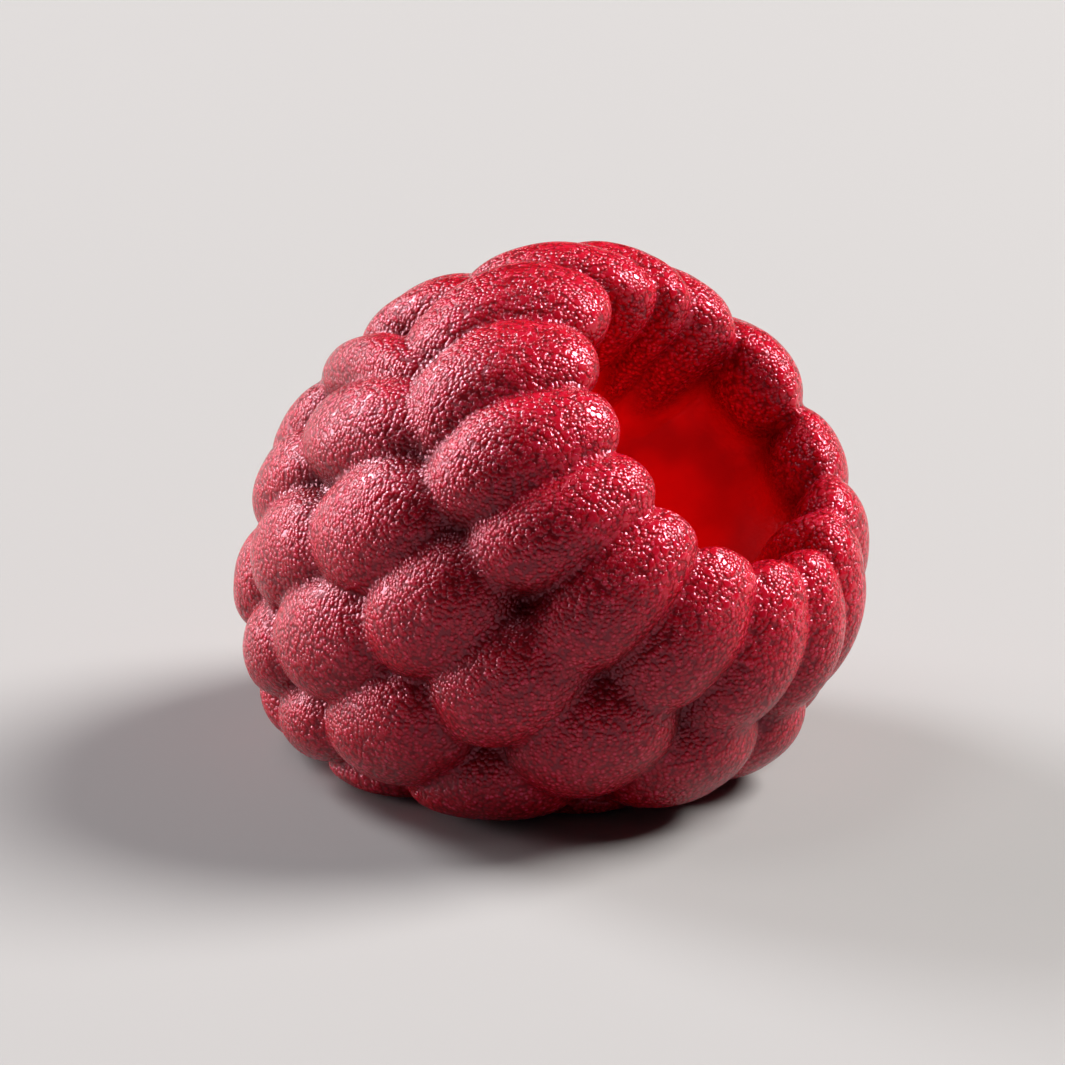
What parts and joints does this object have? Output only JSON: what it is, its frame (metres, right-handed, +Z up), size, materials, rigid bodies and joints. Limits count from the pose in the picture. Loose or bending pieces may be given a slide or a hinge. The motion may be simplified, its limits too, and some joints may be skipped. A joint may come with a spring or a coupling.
{
  "type": "raspberry",
  "caption": "Ripe picked raspberry lying on its side, a hollow cup of plump fused drupelets with its mouth facing up and forward.",
  "frame": {"origin": "centre of the bounding box's bottom, on the table that the fruit rests on", "axes": "+Z up; the hollow's mouth faces +X and up, its axis in the XZ plane, about 42 degrees above level"},
  "size_m": [0.0248, 0.0232, 0.0203],
  "materials": {
    "flesh": "soft, finely pebbled and moist"
  },
  "bodies": {
    "root": {"raspberry": "flesh"}
  },
  "joints": []
}
